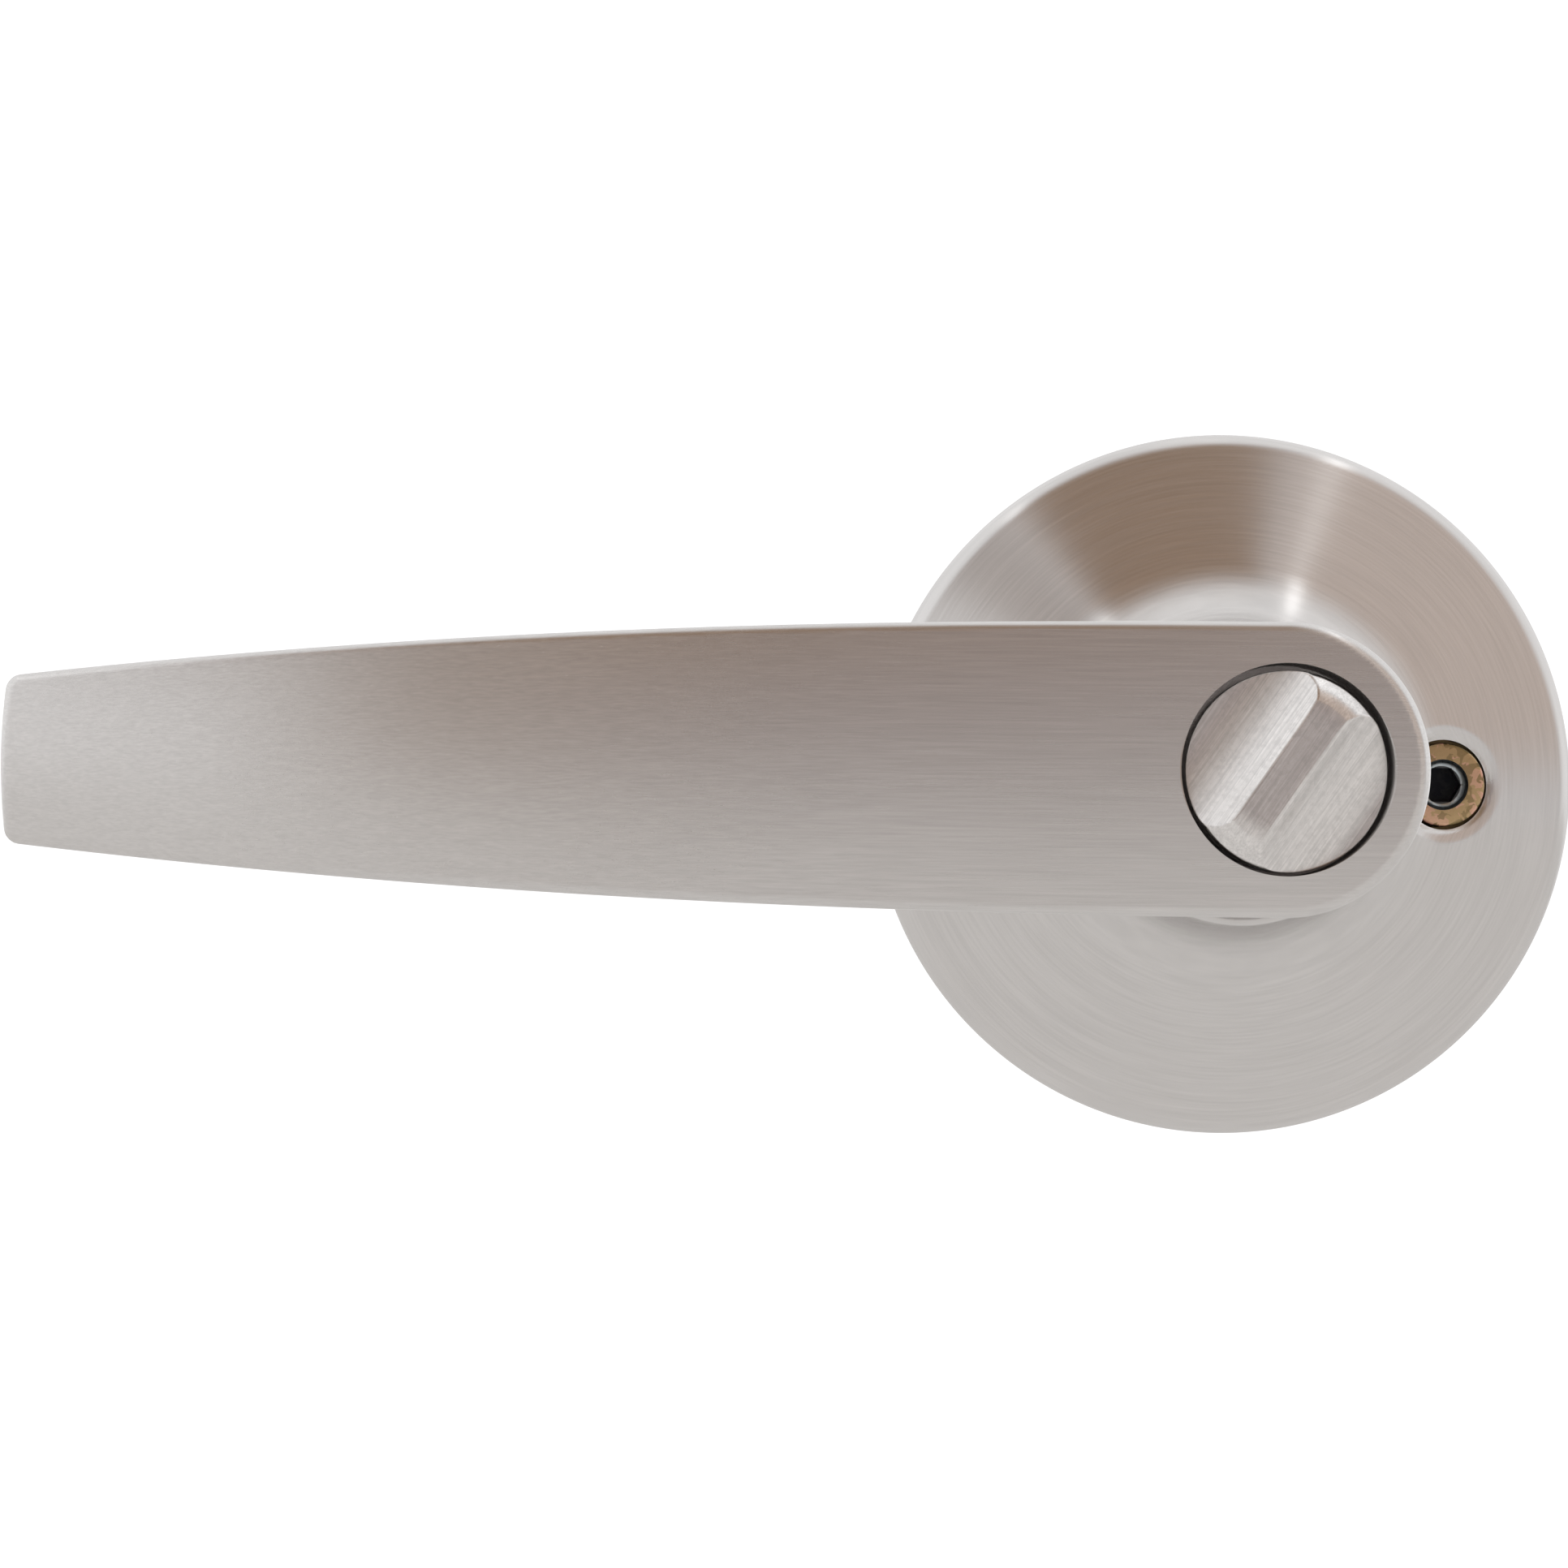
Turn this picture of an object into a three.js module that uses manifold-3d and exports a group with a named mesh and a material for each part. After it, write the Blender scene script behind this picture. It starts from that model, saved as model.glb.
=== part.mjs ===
// Inside half of a privacy door lever set: a tapered lever with a turn button in its head, on a round
// conical rose, with the spring cage, spindle and mounting bolts that go into the door's cross bore.
//
// Frame, in millimetres: the origin is on the lever's axis in the plane of the door's face, +Z is up and
// +Y goes into the door. Every height h below is the distance out from the door's face, so y = -h.
import * as THREE from "three";
import { mergeVertices } from "three/addons/utils/BufferGeometryUtils.js";
import Module from "manifold-3d";

const wasm = await Module();
wasm.setup();

// ---------------------------------------------------------------- driving dimensions, mm
const GAP = 0.3; // clearance between pieces that rest on each other
const RUNNING_GAP = 0.25; // radial clearance of a turning fit

const rose = {
  radius: 33.35,
  wall: 0.9,
  rimHeight: 2.0,
  rimFillet: 1.4,
  coneAngle: THREE.MathUtils.degToRad(21),
  neckFillet: 7.0,
  neckRadius: 13.4,
  height: 22.5,
  lipFillet: 0.6,
  boltHoleRadius: 4.25,
};
const lever = {
  reach: 108.3, // axis to tip
  headRadius: 12.3,
  headFlat: 0.4,
  tipHalfWidth: 7.1,
  taperPower: 2.25,
  faceHeight: 62,
  headDepth: 9.5,
  tipThickness: 6.2,
  tipDrop: 10, // the face curves back towards the door
  bendStart: 25,
  crown: 1.0, // the face is this much lower along its long edges
  frontEdge: 0.8,
  backEdge: 2.2,
  tipEdge: 1.1,
  neckRadius: 10.8,
  neckBottom: 15.5,
  flareStart: 44,
  gussetRadius: 9,
};
const tube = { radius: 8.0, bore: 6.4, front: 51.0, rear: -15.0 };
const button = {
  radius: 8.4,
  boreRadius: 8.85,
  seat: 56.7,
  rim: 60.3,
  top: 63.3,
  barHalfWidth: 1.75,
  scoopRadius: 3.0,
  scoopAngle: THREE.MathUtils.degToRad(44), // slope of the bar's sides
  endStart: 4.6, // the bar's top falls away from here to the rim
  endDrop: 0.5,
  endChamfer: 1.1,
  turn: THREE.MathUtils.degToRad(34.6), // clockwise from upright, seen from the front
};
const bolt = {
  offset: 20.5,
  radius: 2.45,
  headRadius: 3.95,
  headHeight: 4.7,
  end: -46,
  socketAcross: 3.2,
  mouthRadius: 2.4,
  mouthDepth: 1.0,
  socketDepth: 3.0,
};
const plate = { radius: 31.9, thickness: 2.0, bore: 10.2 };
const clip = {
  width: 5,
  thickness: 0.4,
  places: [90, 210, 330], // clockwise from the right-hand side
  centreline: [
    [22, 2.4],
    [29.2, 2.4],
    [30.2, 1.9],
    [31.9, 1.0],
    [30.9, 0.3],
  ],
};
const cage = {
  radius: 17.5,
  wall: 0.9,
  front: -0.2,
  rear: -11.0,
  floor: 1.0,
  earTop: 24.5,
  earHalfWidth: 4.6,
  screwOffset: 20.5,
};
const spring = {
  meanRadius: 12.7,
  wireRadius: 0.9,
  front: -3.2,
  rear: -8.8,
  legAngle: 13,
  legEnd: 16.0,
  turns: 3,
};
const catchPin = { halfWidth: 1.9, bottom: 30, top: 35, tip: 9.6, shoulder: 5.1, back: 4.0, travel: 1.5 };
const square = { side: 7.6, bore: 2.7, front: -10.0, rear: -50.0 };
const bar = { width: 4.0, thickness: 1.4, front: 53.7, rear: -54.0 };

// ---------------------------------------------------------------- solids
// A three.js geometry as a manifold-3d solid, turned to face out if its profile ran the other way.
function solid(geometry, matrix = new THREE.Matrix4()) {
  const bare = geometry.clone().applyMatrix4(matrix);
  bare.deleteAttribute("normal");
  bare.deleteAttribute("uv");
  const merged = mergeVertices(bare, 1e-3);
  const vertProperties = merged.attributes.position.array;
  const triVerts = new Uint32Array(merged.index.array);
  const made = new wasm.Manifold(new wasm.Mesh({ numProp: 3, vertProperties, triVerts }));
  if (made.volume() > 0) return made;
  return new wasm.Manifold(new wasm.Mesh({ numProp: 3, vertProperties, triVerts: triVerts.reverse() }));
}

// A solid of revolution about the lever's axis. The profile is a list of [radius, height].
function turned(profile, segments = 48) {
  const points = profile.map(([r, h]) => new THREE.Vector2(r, -h));
  const onAxis = profile[0][0] === 0 && profile.at(-1)[0] === 0;
  if (!onAxis) points.push(points[0].clone());
  return solid(new THREE.LatheGeometry(points, segments));
}

const disc = (radius, low, high, segments) =>
  turned(
    [
      [0, low],
      [radius, low],
      [radius, high],
      [0, high],
    ],
    segments,
  );

const ring = (inner, outer, low, high, segments) =>
  turned(
    [
      [inner, low],
      [outer, low],
      [outer, high],
      [inner, high],
    ],
    segments,
  );

// A cylinder parallel to the lever's axis, at (x, z).
function post(x, z, radius, low, high, segments = 24) {
  return disc(radius, low, high, segments).translate([x, 0, z]);
}

// A box from its limits in x, in z, and in height.
function block([x0, x1], [z0, z1], [low, high]) {
  const box = new THREE.BoxGeometry(x1 - x0, high - low, z1 - z0);
  return solid(box, new THREE.Matrix4().makeTranslation((x0 + x1) / 2, -(low + high) / 2, (z0 + z1) / 2));
}

// A flat outline in x and z, extruded from one height to another.
function prism(shape, low, high) {
  const plane = new THREE.ExtrudeGeometry(shape, { depth: high - low, bevelEnabled: false });
  const upright = new THREE.Matrix4().makeRotationX(Math.PI / 2);
  return solid(plane, new THREE.Matrix4().makeTranslation(0, -low, 0).multiply(upright));
}

// A round wire along a curve.
function wire(curve, radius, steps) {
  const section = new THREE.Shape().absarc(0, 0, radius, 0, 2 * Math.PI);
  return solid(
    new THREE.ExtrudeGeometry(section, { steps, extrudePath: curve, curveSegments: 4, bevelEnabled: false }),
  );
}

// A solid through a row of closed rings, all with the same number of points, and capped at both ends.
function loft(rings) {
  const count = rings[0].length;
  const middle = (ring) => ring.reduce((sum, p) => sum.add(p), new THREE.Vector3()).divideScalar(count);
  const points = [...rings.flat(), middle(rings[0]), middle(rings.at(-1))];
  const lastRing = (rings.length - 1) * count;
  const index = [];
  for (let j = 0; j < count; j++) {
    const next = (j + 1) % count;
    for (let at = 0; at < lastRing; at += count) {
      index.push(at + j, at + next, at + count + next, at + j, at + count + next, at + count + j);
    }
    index.push(points.length - 2, next, j);
    index.push(points.length - 1, lastRing + j, lastRing + next);
  }
  const geometry = new THREE.BufferGeometry().setFromPoints(points);
  geometry.setIndex(index);
  return solid(geometry);
}

// A bent strip of sheet: a centreline in x and height, given a thickness, and a width along z.
function strip(centreline, thickness, width) {
  const at = centreline.map(([x, h]) => new THREE.Vector2(x, h));
  const normals = at.slice(1).map((p, i) => {
    const along = p.clone().sub(at[i]).normalize();
    return new THREE.Vector2(-along.y, along.x);
  });
  const offset = (side) =>
    at.map((p, i) => {
      const [before, after] = [normals[Math.max(i - 1, 0)], normals[Math.min(i, normals.length - 1)]];
      const mitre = before.clone().add(after);
      return p.clone().addScaledVector(mitre, (side * thickness) / mitre.dot(mitre));
    });
  const shape = new THREE.Shape([...offset(1), ...offset(-1).reverse()]);
  return alongZ(shape, -width / 2, width / 2);
}

// An outline in x and height, extruded between two limits in z.
function alongZ(shape, low, high) {
  const flat = new THREE.ExtrudeGeometry(shape, { depth: high - low, bevelEnabled: false });
  return solid(flat, new THREE.Matrix4().set(1, 0, 0, 0, 0, -1, 0, 0, 0, 0, 1, low, 0, 0, 0, 1));
}

function outline(points) {
  return new THREE.Shape(points.map(([x, y]) => new THREE.Vector2(x, y)));
}

// Points on an arc, angles in degrees, both ends included.
function arc([cx, cy], radius, from, to, steps) {
  return Array.from({ length: steps + 1 }, (_, i) => {
    const a = THREE.MathUtils.degToRad(from + ((to - from) * i) / steps);
    return [cx + radius * Math.cos(a), cy + radius * Math.sin(a)];
  });
}

// ---------------------------------------------------------------- materials
const metal = (color, roughness) => new THREE.MeshStandardMaterial({ color, roughness, metalness: 1 });
const materials = {
  satin: metal(0xb9b2ac, 0.35),
  yellowZinc: metal(0xa8894f, 0.4),
  brightZinc: metal(0x9fa6ab, 0.35),
  springSteel: metal(0x4d4f52, 0.4),
  nylon: new THREE.MeshStandardMaterial({ color: 0xe4e0d4, roughness: 0.6 }),
};

const assembly = new THREE.Group();

function add(name, made, material) {
  const { vertProperties, triVerts } = made.getMesh();
  const geometry = new THREE.BufferGeometry();
  geometry.setAttribute("position", new THREE.BufferAttribute(new Float32Array(vertProperties), 3));
  geometry.setIndex(new THREE.BufferAttribute(new Uint32Array(triVerts), 1));
  geometry.computeVertexNormals();
  const mesh = new THREE.Mesh(geometry, material);
  mesh.name = name;
  assembly.add(mesh);
}

// ---------------------------------------------------------------- rose
// One face of the sheet, from the rim up to the neck, at a depth below the outer face.
function roseFace(depth) {
  const slope = THREE.MathUtils.radToDeg(rose.coneAngle);
  const rimCentre = [rose.radius - rose.rimFillet, rose.rimHeight];
  const coneStart = rimCentre.map((c, i) => c + rose.rimFillet * [Math.sin, Math.cos][i](rose.coneAngle));
  const neckCentreR = rose.neckRadius + rose.neckFillet;
  const coneEndR = neckCentreR - rose.neckFillet * Math.sin(rose.coneAngle);
  const coneEndH = coneStart[1] + (coneStart[0] - coneEndR) * Math.tan(rose.coneAngle);
  const neckCentre = [neckCentreR, coneEndH + rose.neckFillet * Math.cos(rose.coneAngle)];
  return [
    [rose.radius - depth, 0],
    ...arc(rimCentre, rose.rimFillet - depth, 0, 90 - slope, 4),
    ...arc(neckCentre, rose.neckFillet + depth, 270 - slope, 180, 6),
  ];
}

function buildRose() {
  const lipCentre = [rose.neckRadius - rose.lipFillet, rose.height - rose.lipFillet];
  const shell = turned(
    [
      ...roseFace(0),
      ...arc(lipCentre, rose.lipFillet, 0, 90, 2),
      [rose.neckRadius - rose.wall, rose.height],
      ...roseFace(rose.wall).reverse(),
    ],
    56,
  );
  const holes = [-1, 1].map((side) => post(side * bolt.offset, 0, rose.boltHoleRadius, 1, 16, 28));
  return holes.reduce((made, hole) => made.subtract(hole), shell);
}
add("rose", buildRose(), materials.satin);

// Nylon ring that guides the lever's neck in the rose's collar.
const collarBore = lever.neckRadius + RUNNING_GAP;
const collarOuter = rose.neckRadius - rose.wall - 0.2;
add("collar_bush", ring(collarBore, collarOuter, 16.0, rose.height - 0.2), materials.nylon);

// ---------------------------------------------------------------- mounting plate, hub and bolts
function buildPlate() {
  let made = ring(plate.bore, plate.radius, 0, plate.thickness, 56);
  for (const side of [-1, 1]) {
    made = made.subtract(post(side * bolt.offset, 0, bolt.radius + GAP, -1, 3));
    made = made.subtract(post(0, side * cage.screwOffset, 1.7, -1, 3));
  }
  const notch = block([29.4, 33], [-clip.width / 2 - GAP, clip.width / 2 + GAP], [-1, 3]);
  return clip.places.reduce((cut, angle) => cut.subtract(notch.rotate([0, angle, 0])), made);
}
add("mounting_plate", buildPlate(), materials.yellowZinc);

// Spring clips on the plate. Each dips through a notch in its rim and presses outward on the rose.
clip.places.forEach((angle, i) => {
  const leaf = strip(clip.centreline, clip.thickness, clip.width);
  add(`rose_clip_${i + 1}`, leaf.rotate([0, angle, 0]), materials.springSteel);
});

const hubBore = tube.radius + RUNNING_GAP;
const hubSleeve = plate.bore - 0.2;
const hubFlangeLow = plate.thickness + 0.2;
const hubFlange = ring(hubSleeve - 1, 12.4, hubFlangeLow, hubFlangeLow + 1.4);
add("plate_hub", ring(hubBore, hubSleeve, 0, 12).add(hubFlange), materials.brightZinc);

function hexagon(across) {
  const corner = across / Math.sqrt(3);
  return outline(arc([0, 0], corner, 0, 300, 5));
}

function buildBolt(side) {
  const seat = plate.thickness + 0.2;
  const head = seat + bolt.headHeight;
  const body = turned(
    [
      [0, bolt.end],
      [bolt.radius - 0.6, bolt.end],
      [bolt.radius, bolt.end + 0.6],
      [bolt.radius, seat],
      [bolt.headRadius, seat],
      [bolt.headRadius, head - 0.5],
      [bolt.headRadius - 0.5, head],
      [0, head],
    ],
    24,
  );
  const socket = prism(hexagon(bolt.socketAcross), head - bolt.socketDepth, head + 1);
  const mouth = turned(
    [
      [0, head - bolt.mouthDepth],
      [bolt.socketAcross / 2 + 0.2, head - bolt.mouthDepth],
      [bolt.mouthRadius, head - 0.2],
      [bolt.mouthRadius, head + 1],
      [0, head + 1],
    ],
    24,
  );
  return body.subtract(socket).subtract(mouth).translate([side * bolt.offset, 0, 0]);
}
add("mounting_bolt_left", buildBolt(-1), materials.yellowZinc);
add("mounting_bolt_right", buildBolt(1), materials.yellowZinc);

// ---------------------------------------------------------------- spring cage, behind the plate
const cageInner = cage.radius - cage.wall;
const stop = { halfWidth: 2.0, inner: 14.1, outer: 14.9, front: -2.2, endAngle: 62.5 };

function buildHousing() {
  const cup = turned([
    [9.6, cage.rear],
    [cage.radius, cage.rear],
    [cage.radius, cage.front],
    [cageInner, cage.front],
    [cageInner, cage.rear + cage.floor],
    [9.6, cage.rear + cage.floor],
  ]);
  const floor = cage.rear + cage.floor - 0.5;
  // The tab at the top keeps the spring's two legs apart.
  let made = cup.add(block([-stop.halfWidth, stop.halfWidth], [stop.inner, stop.outer], [floor, stop.front]));
  for (const side of [-1, 1]) {
    // End stops for the driver's lug, pressed in from the wall between the levels of the spring's legs.
    const endStop = block([-1, 1], [15.0, cageInner + 0.4], [-7.4, -4.6]);
    made = made.add(endStop.rotate([0, side * stop.endAngle, 0]));
    const z = [cage.radius - 0.5, cage.earTop].map((r) => side * r).sort((a, b) => a - b);
    const ear = block([-cage.earHalfWidth, cage.earHalfWidth], z, [cage.front - 1.1, cage.front]);
    made = made.add(ear.subtract(post(0, side * cage.screwOffset, 1.7, -3, 1)));
  }
  return made;
}
add("spring_housing", buildHousing(), materials.brightZinc);

function buildHousingScrew(side) {
  const seat = cage.front - 1.1 - 0.1;
  const head = seat - 2.0;
  const body = turned(
    [
      [0, head],
      [2.0, head],
      [2.8, head + 0.8],
      [2.8, seat],
      [1.5, seat],
      [1.5, plate.thickness - 0.1],
      [0, plate.thickness - 0.1],
    ],
    20,
  );
  const slots = block([-1.5, 1.5], [-0.3, 0.3], [head - 1, head + 1.1]).add(
    block([-0.3, 0.3], [-1.5, 1.5], [head - 1, head + 1.1]),
  );
  return body.subtract(slots).translate([0, 0, side * cage.screwOffset]);
}
add("housing_screw_top", buildHousingScrew(1), materials.brightZinc);
add("housing_screw_bottom", buildHousingScrew(-1), materials.brightZinc);

// A coil, less the space between its legs, which stand out on each side of the stop tab.
function buildReturnSpring() {
  const startAngle = 90 + spring.legAngle;
  const sweep = 360 * spring.turns - 2 * spring.legAngle;
  const at = (radius, angle, h) => {
    const a = THREE.MathUtils.degToRad(angle);
    return new THREE.Vector3(radius * Math.cos(a), -h, radius * Math.sin(a));
  };
  const bend = 16; // degrees of turn that the leg's bend takes up
  const leg = (angle, sign, h) => [
    at(spring.legEnd, angle, h),
    at(spring.legEnd - 1.6, angle, h),
    at(spring.meanRadius + 0.35, angle + sign * 0.35 * bend, h),
  ];
  const helix = Array.from({ length: 44 }, (_, i) => {
    const share = i / 43;
    const angle = startAngle + bend + share * (sweep - 2 * bend);
    return at(spring.meanRadius, angle, spring.front + share * (spring.rear - spring.front));
  });
  const curve = new THREE.CatmullRomCurve3([
    ...leg(startAngle, 1, spring.front),
    ...helix,
    ...leg(startAngle + sweep, -1, spring.rear).reverse(),
  ]);
  return wire(curve, spring.wireRadius, 84);
}
add("return_spring", buildReturnSpring(), materials.springSteel);

const rearBush = ring(hubBore, 9.3, -12.0, -9.3, 40).add(ring(9.0, 11.3, -9.8, -9.3, 40));
add("rear_bush", rearBush, materials.nylon);

// ---------------------------------------------------------------- spindle tube and what it carries
const driver = { low: -1.7, high: -0.5, armHalfWidth: 2.0, armEnd: 16.2, keyHalfWidth: 1.5 };
const clipGroove = { low: -14.0, high: -12.9, radius: 7.4 };

function buildTube() {
  let made = turned([
    [tube.bore, tube.rear],
    [tube.radius, tube.rear],
    [tube.radius, clipGroove.low],
    [clipGroove.radius, clipGroove.low],
    [clipGroove.radius, clipGroove.high],
    [tube.radius, clipGroove.high],
    [tube.radius, tube.front],
    [tube.bore, tube.front],
  ]);
  // Slots on both sides for the spring driver's keys, and one underneath for the catch.
  for (const x of [
    [-9, -6],
    [6, 9],
  ]) {
    made = made.subtract(block(x, [-driver.keyHalfWidth - GAP, driver.keyHalfWidth + GAP], [-2.1, -0.1]));
  }
  const side = catchPin.halfWidth + GAP;
  return made.subtract(block([-side, side], [-9, -5], [catchPin.bottom - GAP, catchPin.top + GAP]));
}
add("spindle_tube", buildTube(), materials.brightZinc);

// A disc keyed to the tube. Its arm carries a lug between the spring's two legs.
function buildDriver() {
  const { low, high, armHalfWidth, armEnd, keyHalfWidth } = driver;
  const arm = block([-armHalfWidth, armHalfWidth], [13, armEnd], [low, high]);
  const lug = block([-armHalfWidth, armHalfWidth], [armEnd - 1, armEnd], [-9.6, high]);
  const keys = [
    [-9, -6.9],
    [6.9, 9],
  ].map((x) => block(x, [-keyHalfWidth, keyHalfWidth], [low, high]));
  const plain = ring(tube.radius + 0.2, 13.9, low, high);
  return [arm, lug, ...keys].reduce((made, piece) => made.add(piece), plain);
}
add("spring_driver", buildDriver(), materials.brightZinc);

add("thrust_washer", ring(tube.radius + 0.2, 11.0, -12.8, -12.2, 40), materials.brightZinc);

// An open ring in x and z, with its gap turned to face an angle in degrees.
function openRing(inner, outer, low, high, gapDegrees, facing) {
  const from = facing + gapDegrees / 2;
  const to = facing + 360 - gapDegrees / 2;
  const shape = outline([...arc([0, 0], outer, from, to, 32), ...arc([0, 0], inner, to, from, 32)]);
  return prism(shape, low, high);
}
const clipInner = clipGroove.radius + 0.15;
add("spindle_circlip", openRing(clipInner, 9.8, -13.85, -13.05, 40, 90), materials.springSteel);

const plugHole = square.side / 2 + 0.15;
const plug = disc(tube.bore - 0.2, tube.rear, square.front, 40).subtract(
  block([-plugHole, plugHole], [-plugHole, plugHole], [tube.rear - 1, square.front + 1]),
);
add("spindle_end_plug", plug, materials.brightZinc);

const halfSide = square.side / 2;
const squareBar = block([-halfSide, halfSide], [-halfSide, halfSide], [square.rear, square.front]);
add(
  "drive_spindle",
  squareBar.subtract(disc(square.bore, square.rear - 1, square.front + 1, 24)),
  materials.brightZinc,
);

// ---------------------------------------------------------------- lever
const smooth = (t) => THREE.MathUtils.smoothstep(t, 0, 1);
const bend = (x) => Math.min(x + lever.bendStart, 0) ** 2;
const faceAt = (x) => lever.faceHeight - (lever.tipDrop * bend(x)) / bend(-lever.reach);
const halfWidthAt = (x) =>
  lever.headRadius - (lever.headRadius - lever.tipHalfWidth) * (-x / lever.reach) ** lever.taperPower;
const thicknessAt = (x) => lever.headDepth + ((lever.tipThickness - lever.headDepth) * -x) / lever.reach;

// How far the blade's back dips towards the door where it runs into the neck.
function dipAt(x) {
  const r = lever.gussetRadius;
  const near = -(lever.neckRadius + r) - x;
  if (near >= 0) return 0;
  if (near >= -r) return r - Math.sqrt(r * r - near * near);
  return r * smooth(-x / lever.neckRadius);
}

// One section of the blade: a rectangle with rounded corners and a crowned face, drawn smaller by an inset.
function bladeSection(x, inset) {
  const half = halfWidthAt(x) - inset;
  const front = faceAt(x) - inset;
  const dip = dipAt(x);
  const back = faceAt(x) - thicknessAt(x) - dip + inset;
  const frontEdge = Math.max(lever.frontEdge - inset, 0.2);
  const backEdge = Math.max(lever.backEdge + (dip * 3) / 4 - inset, 0.2);
  const section = [
    ...arc([half - backEdge, back + backEdge], backEdge, 270, 360, 4),
    ...arc([half - frontEdge, front - frontEdge], frontEdge, 0, 90, 3),
    [half / 2, front],
    [0, front],
    [-half / 2, front],
    ...arc([frontEdge - half, front - frontEdge], frontEdge, 90, 180, 3),
    ...arc([backEdge - half, back + backEdge], backEdge, 180, 270, 4),
  ];
  const faceShare = (h) => smooth((h - back) / (front - back));
  const crowned = ([z, h]) => h - lever.crown * (z / half) ** 2 * faceShare(h);
  return section.map((point) => new THREE.Vector3(x, -crowned(point), point[0]));
}

function buildBlade() {
  const gusset = Array.from({ length: 7 }, (_, i) => {
    const a = (i * Math.PI) / 12;
    return -(lever.neckRadius + lever.gussetRadius * (1 - Math.cos(a)));
  });
  const straightStart = lever.neckRadius + lever.gussetRadius + 3;
  const straightEnd = lever.reach - lever.tipEdge;
  const steps = 12;
  const straight = Array.from({ length: steps + 1 }, (_, i) =>
    -THREE.MathUtils.lerp(straightStart, straightEnd, i / steps),
  );
  const stations = [0, -4, -8, ...gusset, ...straight].map((x) => [x, 0]);
  // The tip's edges are rounded: the last sections draw in as they near the end.
  for (const a of [30, 60, 90].map(THREE.MathUtils.degToRad)) {
    stations.push([-straightEnd - lever.tipEdge * Math.sin(a), lever.tipEdge * (1 - Math.cos(a))]);
  }
  return loft(stations.map(([x, inset]) => bladeSection(x, inset)));
}

// The neck and the round head, one turned shape that flares where the blade leaves it.
function buildHead() {
  const { neckRadius, neckBottom, headRadius, flareStart, faceHeight, headDepth, frontEdge } = lever;
  const flareEnd = faceHeight - headDepth;
  const flare = Array.from({ length: 7 }, (_, i) => [
    neckRadius + (headRadius - neckRadius) * smooth(i / 6),
    flareStart + ((flareEnd - flareStart) * i) / 6,
  ]);
  const head = turned(
    [
      [0, neckBottom],
      [neckRadius, neckBottom],
      ...flare,
      ...arc([headRadius - frontEdge, faceHeight - frontEdge], frontEdge, 0, 90, 3),
      [9.5, faceHeight],
      [7, faceHeight],
      [4, faceHeight],
      [0, faceHeight],
    ],
    64,
  );
  // The head's face is crowned like the blade's, and its round end is a little flattened.
  return head.warp((point) => {
    const share = smooth((-point[1] - flareEnd) / (faceHeight - flareEnd));
    point[1] += lever.crown * (point[2] / headRadius) ** 2 * share;
    const raised = smooth((-point[1] - flareStart) / (flareEnd - flareStart));
    if (point[0] > 0) point[0] *= 1 - (lever.headFlat / headRadius) * raised;
  });
}

function buildLever() {
  const tubeBore = disc(tube.radius + GAP, lever.neckBottom - 1, 52, 48);
  const buttonBore = disc(button.boreRadius, 55.5, lever.faceHeight + 3, 48);
  const stemHole = disc(4.7, 50, 57, 32);
  const side = catchPin.halfWidth + GAP;
  const reach = catchPin.tip + GAP;
  const pocket = block([-side, side], [-reach, -6], [catchPin.bottom - GAP, catchPin.top + GAP]);
  // Pin hole in the neck's underside: a pin pushed in here frees the lever.
  const middle = (catchPin.bottom + catchPin.top) / 2;
  const upright = new THREE.Matrix4().makeRotationX(Math.PI / 2);
  const pinHole = solid(
    new THREE.CylinderGeometry(1.3, 1.3, 5, 20),
    new THREE.Matrix4().makeTranslation(0, -middle, -reach).multiply(upright),
  );
  const cuts = [tubeBore, buttonBore, stemHole, pocket, pinHole];
  return cuts.reduce((made, cut) => made.subtract(cut), buildHead().add(buildBlade()));
}
add("lever", buildLever(), materials.satin);

// ---------------------------------------------------------------- lever catch, in the tube's underside
function buildCatch() {
  const { halfWidth, bottom, top, tip, shoulder, back } = catchPin;
  const nose = block([-halfWidth, halfWidth], [-tip, -back], [bottom, top]);
  const flange = block([-halfWidth - 1, halfWidth + 1], [-shoulder, -back], [bottom - 1.8, top + 1.8]);
  return nose.add(flange);
}
add("lever_catch", buildCatch(), materials.brightZinc);

// An open band spring inside the tube. Its two ends press on the back of the catch.
function buildCatchSpring() {
  const outer = tube.bore - 0.25;
  const thickness = 0.4;
  const inner = outer - thickness;
  const endZ = -(catchPin.back - 0.3);
  const outerAngle = THREE.MathUtils.radToDeg(Math.asin(endZ / outer));
  const innerAngle = THREE.MathUtils.radToDeg(Math.asin((endZ + thickness) / inner));
  const shape = outline([
    [2.3, endZ],
    ...arc([0, 0], outer, outerAngle, 180 - outerAngle, 24),
    [-2.3, endZ],
    [-2.3, endZ + thickness],
    ...arc([0, 0], inner, 180 - innerAngle, innerAngle, 24),
    [2.3, endZ + thickness],
  ]);
  return prism(shape, 31, 34);
}
add("catch_spring", buildCatchSpring(), materials.springSteel);

// ---------------------------------------------------------------- turn button and its stem
// Pieces below turn with the button, so they are drawn upright and turned together.
const turnDegrees = THREE.MathUtils.radToDeg(button.turn);
const addTurned = (name, made, material) => add(name, made.rotate([0, turnDegrees, 0]), material);

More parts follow.
